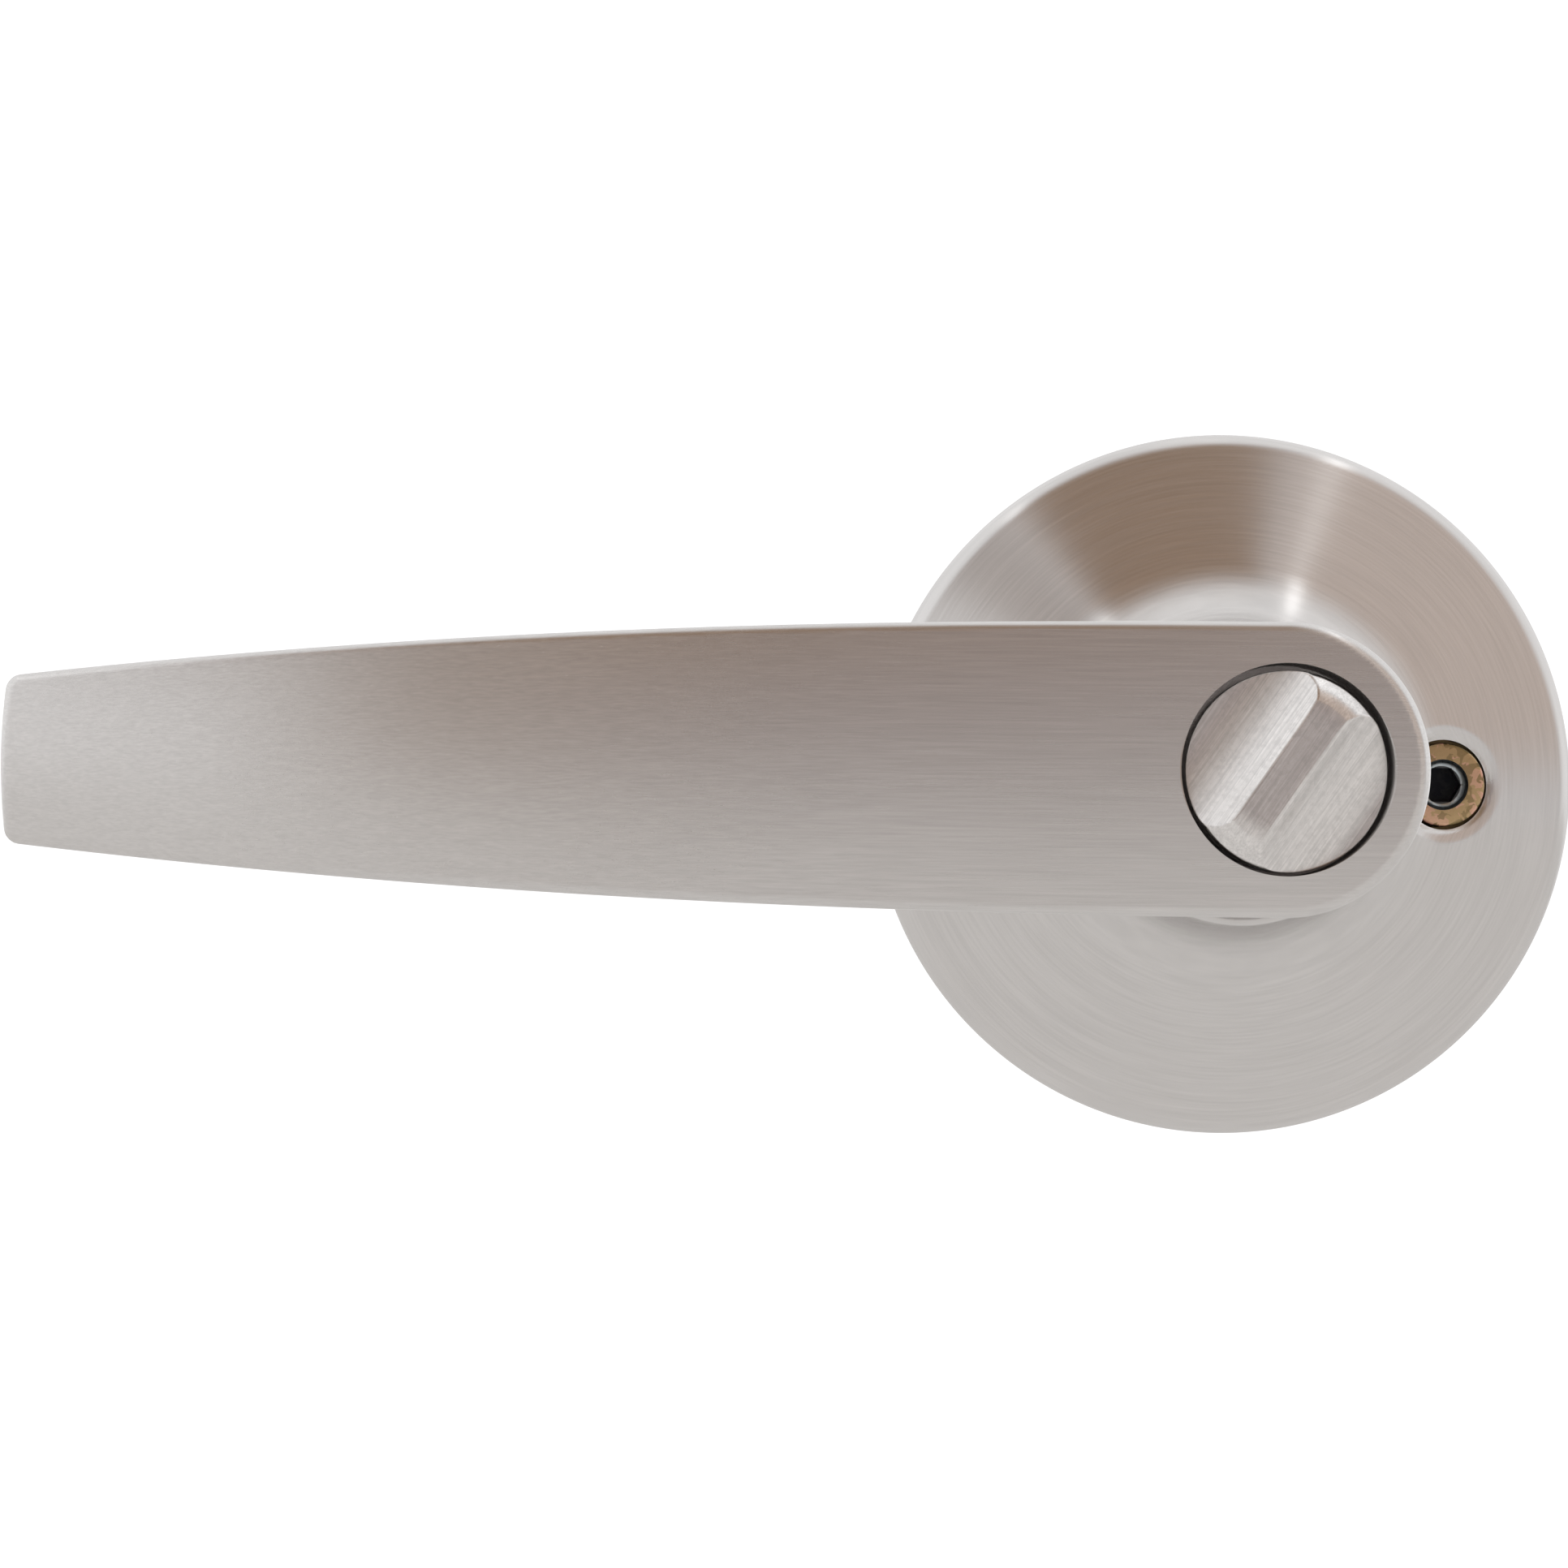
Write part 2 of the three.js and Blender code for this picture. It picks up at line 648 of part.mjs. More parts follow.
function buildButton() {
  const { radius, seat, rim, top, barHalfWidth, scoopRadius, endChamfer } = button;
  const dropAt = (r) => button.endDrop * ((r - button.endStart) / (radius - button.endStart)) ** 2;
  // Each side of the bar slopes straight down from its top, then curves out into the plate's face.
  const slope = button.scoopAngle;
  const arcRise = scoopRadius * (1 - Math.cos(slope));
  const scoopFoot = barHalfWidth + scoopRadius * Math.sin(slope) + (top - rim - arcRise) / Math.tan(slope);
  const scoopCentre = rim + scoopRadius;
  const rise = 90 - THREE.MathUtils.radToDeg(slope);
  const half = radius + 0.5;
  // Section across the bar, in x and height.
  const section = outline([
    [-half, seat],
    [half, seat],
    [half, rim],
    ...arc([scoopFoot, scoopCentre], scoopRadius, 270, 180 + rise, 5),
    [barHalfWidth, top],
    [-barHalfWidth, top],
    ...arc([-scoopFoot, scoopCentre], scoopRadius, -rise, -90, 5),
    [-half, rim],
  ]);
  const envelope = turned([
    [0, seat],
    [radius, seat],
    [radius, top - button.endDrop - endChamfer],
    ...[radius - endChamfer, 6.4, 5.5, button.endStart].map((r) => [r, top - dropAt(r)]),
    [0, top],
  ]);
  const socket = disc(2.2, seat - 1, 59.5, 20);
  return alongZ(section, -half, half).intersect(envelope).subtract(socket);
}
addTurned("turn_button", buildButton(), materials.satin);

function buildStem() {
  const shaft = turned(
    [
      [0, 49.0],
      [3.0, 49.0],
      [3.0, 50.3],
      [2.4, 50.3],
      [2.4, 51.2],
      [3.0, 51.2],
      [3.0, 56.6],
      [2.0, 56.6],
      [2.0, 59.2],
      [0, 59.2],
    ],
    24,
  );
  const slack = 0.15;
  const x = bar.thickness / 2 + slack;
  const z = bar.width / 2 + slack;
  return shaft.subtract(block([-x, x], [-z, z], [48, bar.front + GAP]));
}
addTurned("button_stem", buildStem(), materials.brightZinc);

const barSolid = block(
  [-bar.thickness / 2, bar.thickness / 2],
  [-bar.width / 2, bar.width / 2],
  [bar.rear, bar.front],
);
addTurned("locking_bar", barSolid, materials.brightZinc);
addTurned("button_clip", openRing(2.55, 5.2, 50.4, 51.1, 90, 0), materials.springSteel);
add("button_wave_washer", ring(3.2, 5.4, 51.4, 51.8, 32), materials.springSteel);

const buttonBush = ring(3.2, 4.5, 52.1, 56.4, 32).add(ring(4.0, 6.5, 55.75, 56.4, 32));
add("button_bush", buttonBush, materials.nylon);

export default assembly;
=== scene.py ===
"""Looks for the door lever set: a brushed satin lever, rose and turn button, and plated works behind.

Shapes are worked out in millimetres as (x, h, z), where h is the distance out from the door's face, and
are turned into the frame's metres, (x, -h, z), when a mesh is made.
"""

import math

import bmesh
import bpy
import numpy as np
from mathutils import Euler, Matrix, Vector


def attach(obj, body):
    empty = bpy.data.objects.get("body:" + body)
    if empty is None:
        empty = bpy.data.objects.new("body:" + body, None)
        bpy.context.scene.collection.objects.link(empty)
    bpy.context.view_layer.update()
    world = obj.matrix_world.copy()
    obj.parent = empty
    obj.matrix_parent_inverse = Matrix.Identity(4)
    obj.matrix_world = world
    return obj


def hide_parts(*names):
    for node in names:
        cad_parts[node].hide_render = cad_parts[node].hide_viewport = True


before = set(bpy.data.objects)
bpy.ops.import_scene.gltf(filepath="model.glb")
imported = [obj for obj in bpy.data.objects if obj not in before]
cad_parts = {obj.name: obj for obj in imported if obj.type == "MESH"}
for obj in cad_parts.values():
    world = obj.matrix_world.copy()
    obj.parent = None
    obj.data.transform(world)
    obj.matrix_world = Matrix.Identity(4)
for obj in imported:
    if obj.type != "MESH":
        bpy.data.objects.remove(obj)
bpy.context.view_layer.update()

MM = 0.001
STEP_SCALE = 1.0

# ------------------------------------------------------------------ sizes, mm, as the solids have them
REACH = 108.3  # from the axis to the lever's tip
FACE = 62.0  # the lever's face, out from the door
HEAD_R = 12.3
HEAD_FLAT = 0.4  # how much the head's round end is flattened
HEAD_DEPTH = 9.5
TIP_HALF = 7.1
TIP_DEPTH = 6.2
TIP_DROP = 10.0  # how far the face has curved back at the tip
TIP_BOW = 0.35  # how far the tip's end bulges
TIP_CORNER_R = 1.15
TAPER = 2.25  # power by which the blade narrows
BEND_START = 25.0
CROWN = 1.0
FRONT_EDGE_R = 0.75
HEAD_EDGE_R = 1.1
NECK_R = 10.8
NECK_BOTTOM = 15.5
NECK_FILLET = 9.0
BORE_R = 8.85
BORE_FLOOR = 55.5
TUBE_CLEAR_R = 8.3
CATCH_LOW, CATCH_HIGH = 30.0, 35.0
CATCH_SLOT = (CATCH_LOW - 0.3, CATCH_HIGH + 0.3)
CATCH_SLOT_HALF = 2.2
BOLT_X = 20.5
SCREW_Z = 20.5
SCREW_HOLE_R = 1.7
ROSE_HOLE_R = 4.25
BAR_ANGLE = math.radians(34.6)  # clockwise from upright


# ------------------------------------------------------------------ meshes
def make_object(name, vertices, faces):
    """A mesh object from points in (x, h, z) millimetres."""
    at = np.asarray(vertices, float)
    mesh = bpy.data.meshes.new(name)
    mesh.from_pydata((at * (MM, -MM, MM)).tolist(), [], np.asarray(faces, object).tolist())
    obj = bpy.data.objects.new(name, mesh)
    bpy.context.scene.collection.objects.link(obj)
    face_outwards(obj)
    return obj


def face_outwards(obj):
    work = bmesh.new()
    work.from_mesh(obj.data)
    bmesh.ops.recalc_face_normals(work, faces=work.faces)
    work.to_mesh(obj.data)
    work.free()


def smooth(obj, angle=28.0):
    """Smooth shading, with a hard line wherever two faces meet at more than the angle."""
    obj.data.shade_smooth()
    obj.data.set_sharp_from_angle(angle=math.radians(angle))
    return obj


def bake_modifiers(obj):
    graph = bpy.context.evaluated_depsgraph_get()
    made = bpy.data.meshes.new_from_object(obj.evaluated_get(graph))
    old = obj.data
    obj.modifiers.clear()
    obj.data = made
    bpy.data.meshes.remove(old)
    return obj


def combine(obj, operation, *others):
    """Joins the other solids to obj, or cuts them from it, and removes them."""
    for other in others:
        modifier = obj.modifiers.new(operation, "BOOLEAN")
        modifier.operation = operation
        modifier.solver = "MANIFOLD"
        modifier.object = other
    bake_modifiers(obj)
    for other in others:
        bpy.data.objects.remove(other)
    return obj


def cut(obj, *others):
    return combine(obj, "DIFFERENCE", *others)


def join(obj, *others):
    return combine(obj, "UNION", *others)


def bevel(obj, width, segments=3, angle=35.0):
    modifier = obj.modifiers.new("edges", "BEVEL")
    modifier.width = width * MM
    modifier.segments = segments
    modifier.limit_method = "ANGLE"
    modifier.angle_limit = math.radians(angle)
    return bake_modifiers(obj)


def moved(obj, x=0.0, z=0.0, turn=0.0):
    """Turns obj clockwise about the lever's axis, in degrees, then shifts it."""
    place = Matrix.Translation((x * MM, 0, z * MM)) @ Matrix.Rotation(math.radians(turn), 4, "Y")
    obj.data.transform(place)
    return obj


def soften(profile, radius, steps=3):
    """Rounds the corners of a closed run of points. Corners on or left of the axis stay as they are."""
    points = [np.array(p, float) for p in profile]
    count = len(points)
    out = []
    for i, p in enumerate(points):
        before, after = points[i - 1], points[(i + 1) % count]
        if p[0] < 1e-6:
            out.append(p)
            continue
        back, on = before - p, after - p
        reach = min(radius, 0.45 * np.linalg.norm(back), 0.45 * np.linalg.norm(on))
        start = p + back / np.linalg.norm(back) * reach
        end = p + on / np.linalg.norm(on) * reach
        for k in range(steps + 1):
            t = k / steps
            out.append((1 - t) ** 2 * start + 2 * t * (1 - t) * p + t * t * end)
    return out


def turned(name, profile, segments=96, edge=0.0):
    """A solid of revolution about the lever's axis, from (radius, height) points."""
    points = soften(profile, edge) if edge else [np.array(p, float) for p in profile]
    on_axis = [p[0] < 1e-6 for p in points]
    angles = np.linspace(0, 2 * math.pi, segments, endpoint=False)
    vertices, rows = [], []
    for p, single in zip(points, on_axis):
        start = len(vertices)
        around = angles[:1] if single else angles
        vertices += [(p[0] * math.cos(a), p[1], p[0] * math.sin(a)) for a in around]
        rows.append([start] * segments if single else list(range(start, start + segments)))
    faces = []
    for i, row in enumerate(rows):
        following = rows[(i + 1) % len(rows)]
        if on_axis[i] and on_axis[(i + 1) % len(rows)]:
            continue
        for j in range(segments):
            k = (j + 1) % segments
            corners = [row[j], row[k], following[k], following[j]]
            faces.append(list(dict.fromkeys(corners)))
    return make_object(name, vertices, faces)


def disc(name, radius, low, high, segments=96, edge=0.0):
    return turned(name, [(0, low), (radius, low), (radius, high), (0, high)], segments, edge)


def ring(name, inner, outer, low, high, segments=96, edge=0.0):
    return turned(name, [(inner, low), (outer, low), (outer, high), (inner, high)], segments, edge)


def prism_faces(count):
    """The faces between two rings of points, with both ends."""
    sides = [[i, (i + 1) % count, count + (i + 1) % count, count + i] for i in range(count)]
    return [list(range(count)), list(range(count, 2 * count)), *sides]


def prism(name, outline, low, high):
    """A flat outline in x and z, given a depth."""
    vertices = [(x, h, z) for h in (low, high) for x, z in outline]
    return make_object(name, vertices, prism_faces(len(outline)))


def block(name, x, z, h):
    return prism(name, [(x[0], z[0]), (x[1], z[0]), (x[1], z[1]), (x[0], z[1])], *h)


def arc(cx, cy, radius, start, end, steps):
    angles = np.radians(np.linspace(start, end, steps + 1))
    return [(cx + radius * math.cos(a), cy + radius * math.sin(a)) for a in angles]


# ------------------------------------------------------------------ shapes from distance fields
def step01(t):
    t = np.clip(t, 0, 1)
    return t * t * (3 - 2 * t)


def meet(a, b, radius):
    """The space inside both fields, with the edge between them rounded."""
    outer = np.hypot(np.maximum(a + radius, 0), np.maximum(b + radius, 0)) - radius
    return outer + np.minimum(np.maximum(a, b) + radius, 0)


def merge(a, b, radius):
    """The space inside either field, with a fillet in the corner between them."""
    return -meet(-a, -b, radius)


def slopes_at(field, points, small=0.02):
    slopes = np.zeros_like(points)
    for i in range(3):
        offset = np.zeros(3)
        offset[i] = small
        slopes[:, i] = (field(*(points + offset).T) - field(*(points - offset).T)) / (2 * small)
    return slopes


def carve(name, field, low, high, step):
    """A mesh of the surface where a field of (x, h, z) is zero: one vertex in each cell of a grid that the
    surface crosses, moved onto the surface along the field's slope."""
    step *= STEP_SCALE
    axes = [np.arange(a - 1.5 * step, b + 2.5 * step, step) for a, b in zip(low, high)]
    inside = field(*np.meshgrid(*axes, indexing="ij")) < 0
    windows = np.lib.stride_tricks.sliding_window_view(inside, (2, 2, 2))
    crossed = windows.any(axis=(3, 4, 5)) & ~windows.all(axis=(3, 4, 5))
    number = np.full(crossed.shape, -1, np.int64)
    number[crossed] = np.arange(crossed.sum())
    cells = np.argwhere(crossed)
    points = np.stack([axes[i][cells[:, i]] + step / 2 for i in range(3)], 1)
    middle = points.copy()
    for _ in range(6):
        value = field(*points.T)
        slopes = slopes_at(field, points)
        size = np.maximum((slopes**2).sum(1), 1e-4)
        points -= slopes * (value / size)[:, None]
        points = np.clip(points, middle - 0.9 * step, middle + 0.9 * step)
    faces = []
    for axis in range(3):
        others = [a for a in range(3) if a != axis]
        first = np.take(inside, range(inside.shape[axis] - 1), axis)
        second = np.take(inside, range(1, inside.shape[axis]), axis)
        edges = np.argwhere(first != second)
        around = []
        for da, db in ((-1, -1), (0, -1), (0, 0), (-1, 0)):
            cell = edges.copy()
            cell[:, others[0]] += da
            cell[:, others[1]] += db
            around.append(number[tuple(cell.T)])
        faces.append(np.stack(around, 1))
    quads = np.concatenate(faces)
    return make_object(name, points, quads)


def shade_from(obj, field, angle=35.0):
    """Shades a carved surface by its field's own slope. Corners off the field, as in a bore cut through
    it, keep the mesh's normals."""
    smooth(obj, angle)
    mesh = obj.data
    corner_vertex = np.empty(len(mesh.loops), np.int64)
    mesh.loops.foreach_get("vertex_index", corner_vertex)
    at = np.empty(len(mesh.vertices) * 3)
    mesh.vertices.foreach_get("co", at)
    points = at.reshape(-1, 3) / (MM, -MM, MM)
    own = np.empty(len(mesh.loops) * 3)
    mesh.corner_normals.foreach_get("vector", own)
    own = own.reshape(-1, 3)
    slopes = slopes_at(field, points, 0.01)
    exact = slopes / np.maximum(np.linalg.norm(slopes, axis=1, keepdims=True), 1e-9) * (1, -1, 1)
    exact = exact[corner_vertex]
    near = np.abs(field(*points.T))[corner_vertex] < 0.03
    agree = near & ((exact * own).sum(1) > math.cos(math.radians(angle)))
    mesh.normals_split_custom_set(np.where(agree[:, None], exact, own).tolist())
    return obj


# ------------------------------------------------------------------ materials
class Shader:
    """Short calls that make and join the nodes of a material or a world."""

    def __init__(self, owner):
        owner.use_nodes = True
        self.owner = owner
        self.tree = owner.node_tree

    def node(self, kind, *inputs, **settings):
        made = self.tree.nodes.new("ShaderNode" + kind)
        for key, value in settings.items():
            setattr(made, key, value)
        for socket, value in zip(made.inputs, inputs):
            self.feed(socket, value)
        return made

    def feed(self, socket, value):
        if isinstance(value, bpy.types.NodeSocket):
            self.tree.links.new(value, socket)
        else:
            socket.default_value = value

    def math(self, operation, *inputs):
        return self.node("Math", *inputs, operation=operation).outputs[0]

    def vector(self, operation, *inputs):
        made = self.node("VectorMath", *inputs, operation=operation)
        scalar = operation in ("LENGTH", "DOT_PRODUCT")
        return made.outputs["Value" if scalar else "Vector"]

    def scaled(self, vector, factors):
        return self.vector("MULTIPLY", vector, factors)

    def noise(self, coords, detail=2.0, roughness=0.5, distortion=0.0):
        made = self.node("TexNoise")
        settings = {"Vector": coords, "Scale": 1.0, "Detail": detail, "Roughness": roughness}
        for key, value in {**settings, "Distortion": distortion}.items():
            self.feed(made.inputs[key], value)
        return made.outputs["Fac"]

    def ramp(self, value, low, high, out_low=0.0, out_high=1.0, smooth_step=True):
        made = self.node("MapRange", value, low, high, out_low, out_high)
        if smooth_step:
            made.interpolation_type = "SMOOTHSTEP"
        return made.outputs[0]

    def mix(self, share, a, b):
        made = self.node("Mix", data_type="RGBA")
        for key, value in ((0, share), (6, a), (7, b)):  # a Mix node's factor and its two colours
            self.feed(made.inputs[key], value)
        return made.outputs[2]

    def bump(self, height, strength, distance):
        made = self.node("Bump")
        for key, value in (("Strength", strength), ("Distance", distance), ("Height", height)):
            self.feed(made.inputs[key], value)
        return made.outputs["Normal"]

    def set(self, **inputs):
        """Feeds the main shader's inputs, named as in Blender but in lower case with underscores."""
        sockets = self.tree.nodes["Principled BSDF"].inputs
        for key, value in inputs.items():
            self.feed(sockets[key.replace("_", " ").title()], value)
        return self.owner


def material_shader(name):
    return Shader(bpy.data.materials.new(name))


def rgb(r, g, b):
    return (r, g, b, 1.0)


def darker(colour, share):
    return rgb(*[c * share for c in colour])


def grain_along(shader, direction, fine, length):
    """Coordinates that change slowly along a direction and fast across it, per metre."""
    coords = shader.node("TexCoord").outputs["Object"]
    along = shader.scaled(direction, shader.vector("DOT_PRODUCT", coords, direction))
    across = shader.vector("SUBTRACT", coords, along)
    return shader.vector("ADD", shader.scaled(across, (fine,) * 3), shader.scaled(along, (1 / length,) * 3))


def grain_round(shader, fine, arcs):
    """Coordinates of rings about the lever's axis."""
    coords = shader.node("TexCoord").outputs["Object"]
    flat = shader.scaled(coords, (1, 0, 1))
    radius = shader.vector("LENGTH", flat)
    height = shader.vector("DOT_PRODUCT", coords, (0, 1, 0))
    turn = shader.scaled(shader.vector("NORMALIZE", flat), (arcs,) * 3)
    across = shader.node("CombineXYZ")
    shader.feed(across.inputs[1], shader.math("MULTIPLY", shader.math("SUBTRACT", radius, height), fine))
    return shader.vector("ADD", turn, across.outputs[0])


def grooves_tangent(shader, groove):
    """The direction in the surface across the grooves, along which they spread a highlight."""
    turned_groove = shader.node("VectorTransform", groove, vector_type="VECTOR", convert_from="OBJECT")
    turned_groove.convert_to = "WORLD"
    normal = shader.node("NewGeometry").outputs["Normal"]
    return shader.vector("NORMALIZE", shader.vector("CROSS_PRODUCT", normal, turned_groove.outputs[0]))


def brushed(name, grain, groove_of, colour, roughness, contrast=0.06, blotch=0.0):
    """Satin metal: fine short hairlines over slow streaks in tone, with faint marks of handling."""
    s = material_shader(name)
    coords = s.node("TexCoord").outputs["Object"]
    fine = s.noise(grain(s, 7500, 0.008), detail=2, roughness=0.6)
    hair = s.noise(grain(s, 11000, 0.009), detail=2, roughness=0.6)
    streak = s.noise(grain(s, 2600, 0.012), detail=3, roughness=0.55)
    cloud = s.noise(s.scaled(coords, (60, 60, 60)), detail=3, roughness=0.5, distortion=0.4)
    tone = s.math("ADD", s.math("MULTIPLY", fine, 0.65), s.math("MULTIPLY", streak, 0.35))
    light = rgb(*[min(1.0, c * (1 + contrast)) for c in colour])
    base = s.mix(s.ramp(tone, 0.36, 0.64, smooth_step=False), darker(colour, 1 - contrast), light)
    base = s.mix(s.ramp(cloud, 0.35, 0.7, 0, 0.12), base, darker(colour, 0.93))
    rough = s.math("ADD", roughness - 0.05, s.math("MULTIPLY", hair, 0.07))
    rough = s.math("ADD", rough, s.math("MULTIPLY", cloud, 0.03))
    lines = s.math("ADD", s.math("MULTIPLY", fine, 0.6), s.math("MULTIPLY", hair, 0.4))
    if blotch:
        marks = s.noise(s.scaled(coords, (1700, 1700, 1700)), detail=4, roughness=0.7)
        base = s.mix(s.ramp(marks, 0.42, 0.66, 0, blotch), base, darker(colour, 0.72))
        lines = s.math("ADD", lines, s.math("MULTIPLY", marks, 2 * blotch))
    s.set(base_color=base, metallic=1.0, roughness=rough, anisotropic=0.9)
    return s.set(tangent=grooves_tangent(s, groove_of(s)), normal=s.bump(lines, 0.4, 0.000004))


def ring_groove(s):
    """Round the lever's axis."""
    coords = s.node("TexCoord").outputs["Object"]
    return s.vector("CROSS_PRODUCT", (0, 1, 0), coords)


def straight_grain(direction):
    """The two functions that brushed() takes, for grooves that all run one way."""

    def grain(s, fine, length):
        return grain_along(s, direction, fine, length)

    def groove(_):
        return Vector(direction)

    return grain, groove


def ring_grain(s, fine, length):
    return grain_round(s, fine, 0.025 / length)


SATIN = (0.64, 0.625, 0.618)
BUTTON_SATIN = (0.72, 0.7, 0.69)
bar_way = (math.sin(BAR_ANGLE), 0.0, math.cos(BAR_ANGLE))
lever_satin = brushed("lever_satin", *straight_grain((1, 0, 0)), SATIN, 0.26)
bar_grain = straight_grain(bar_way)
button_satin = brushed("button_satin", *bar_grain, BUTTON_SATIN, 0.23, contrast=0.14, blotch=0.4)
rose_satin = brushed("rose_satin", ring_grain, ring_groove, SATIN, 0.25, contrast=0.05)


def plated(name, colour, tints, roughness, patch=160, sharp=0.12):
    """Zinc plate: the film's tint changes in patches over the surface, over fine etched grain with a few
    dull spots. The patches' size goes by their count to the metre."""
    s = material_shader(name)
    coords = s.node("TexCoord").outputs["Object"]
    drift = s.noise(s.scaled(coords, (patch,) * 3), detail=2, distortion=1.2)
    shifted = s.vector("ADD", s.scaled(coords, (patch * 1.4,) * 3), (7.3, 1.9, 4.1))
    other = s.noise(shifted, detail=2, distortion=1.0)
    grain = s.noise(s.scaled(coords, (5200, 5200, 5200)), detail=3)
    base = s.mix(s.ramp(drift, 0.5 - sharp, 0.5 + sharp), rgb(*colour), rgb(*tints[0]))
    base = s.mix(s.ramp(other, 0.52 - sharp, 0.52 + sharp, 0, 0.85), base, rgb(*tints[1]))
    base = s.mix(s.ramp(grain, 0.35, 0.75, 0, 0.25), base, darker(colour, 0.7))
    dull = s.ramp(s.noise(s.scaled(coords, (620, 620, 620)), detail=2), 0.62, 0.74)
    base = s.mix(s.math("MULTIPLY", dull, 0.25), base, darker(colour, 0.55))
    edge = s.ramp(s.node("NewGeometry").outputs["Pointiness"], 0.53, 0.62)
    base = s.mix(s.math("MULTIPLY", edge, 0.4), base, rgb(*[min(1, c * 1.3) for c in colour]))
    rough = s.math("ADD", roughness - 0.07, s.math("MULTIPLY", grain, 0.14))
    rough = s.math("ADD", rough, s.math("MULTIPLY", dull, 0.12))
    return s.set(base_color=base, metallic=1.0, roughness=rough, normal=s.bump(grain, 0.35, 0.00001))


# Each is a base colour, two tints for its patches, and a roughness.
yellow_tints = ((0.6, 0.41, 0.26), (0.53, 0.44, 0.22))
yellow_zinc = plated("yellow_zinc", (0.6, 0.45, 0.22), yellow_tints, 0.33, patch=110, sharp=0.3)
bolt_tints = ((0.72, 0.42, 0.33), (0.1, 0.08, 0.03))
bolt_zinc = plated("bolt_zinc", (0.46, 0.33, 0.18), bolt_tints, 0.36, patch=560, sharp=0.012)
bright_zinc = plated("bright_zinc", (0.6, 0.64, 0.68), ((0.55, 0.6, 0.7), (0.64, 0.62, 0.56)), 0.33)
spring_steel = plated("spring_steel", (0.17, 0.17, 0.18), ((0.12, 0.13, 0.17), (0.22, 0.19, 0.15)), 0.36)
# The socket's three materials are one steel in painted light and shade: plain at the mouth, then painted
# shade, then a near-black painted shadow deepest.
steel_tints = ((0.3, 0.34, 0.37), (0.5, 0.54, 0.55))
socket_steel = plated("socket_steel", (0.42, 0.47, 0.5), steel_tints, 0.3, patch=500)
shade_tints = ((0.05, 0.053, 0.06), (0.08, 0.082, 0.083))
socket_shade = plated("socket_shade", (0.07, 0.075, 0.08), shade_tints, 0.4, patch=500)
painted_shadow_tints = ((0.015, 0.016, 0.02), (0.03, 0.03, 0.03))
socket_painted_shadow = plated("socket_painted_shadow", (0.022, 0.023, 0.026), painted_shadow_tints, 0.5, patch=500)


def moulded_nylon():
    s = material_shader("natural_nylon")
    coords = s.node("TexCoord").outputs["Object"]
    cloud = s.noise(s.scaled(coords, (140, 140, 140)), detail=3)
    grain = s.noise(s.scaled(coords, (3800, 3800, 3800)), detail=2)
    base = s.mix(s.ramp(cloud, 0.35, 0.65), rgb(0.7, 0.66, 0.55), rgb(0.8, 0.77, 0.68))
    rough = s.math("ADD", 0.42, s.math("MULTIPLY", grain, 0.16))
    return s.set(base_color=base, roughness=rough, normal=s.bump(grain, 0.3, 0.00002))


nylon = moulded_nylon()


# ------------------------------------------------------------------ pieces
def piece(obj, body, material, slot, *nodes):
    """Gives obj its material and body, and names the solids that it takes the place of."""
    obj.data.materials.clear()
    obj.data.materials.append(material)
    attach(obj, body)
    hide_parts(*nodes)
    return obj


def lever_field(x, h, z):
    """A tapered, crowned blade that curves back towards its tip, with a round head on a round neck."""
    out = np.maximum(-x, 0.0)
    half = HEAD_R - (HEAD_R - TIP_HALF) * (out / REACH) ** TAPER
    bend = np.maximum(out - BEND_START, 0)
    full = REACH - BEND_START
    slope = 2 * TIP_DROP * bend / full**2
    crown = CROWN * np.minimum(np.abs(z) / half, 1.2) ** 2
    face = FACE - TIP_DROP * (bend / full) ** 2
    depth = HEAD_DEPTH + (TIP_DEPTH - HEAD_DEPTH) * out / REACH
    front = (h - face + crown) / np.sqrt(1 + slope**2)
    back = (face - depth - h) / np.sqrt(1 + slope**2)
    flattened = x * HEAD_R / (HEAD_R - HEAD_FLAT)
    outline = np.where(x < 0, np.abs(z) - half, np.hypot(flattened, z) - HEAD_R)
    tip = -x - (REACH - TIP_BOW * (z / TIP_HALF) ** 2)
    outline = meet(outline, tip, TIP_CORNER_R)
    # The back's edge gets rounder from the head to the blade.
    slab = meet(back, outline, 0.4 + 1.7 * step01((out - 8) / 16))
    neck = np.maximum(np.hypot(x, z) - NECK_R, h - (FACE - 3))
    body = meet(merge(slab, neck, NECK_FILLET), outline, 0.15)
    body = meet(body, front, FRONT_EDGE_R + (HEAD_EDGE_R - FRONT_EDGE_R) * step01(x / 10))
    return meet(body, NECK_BOTTOM - h, 0.4)


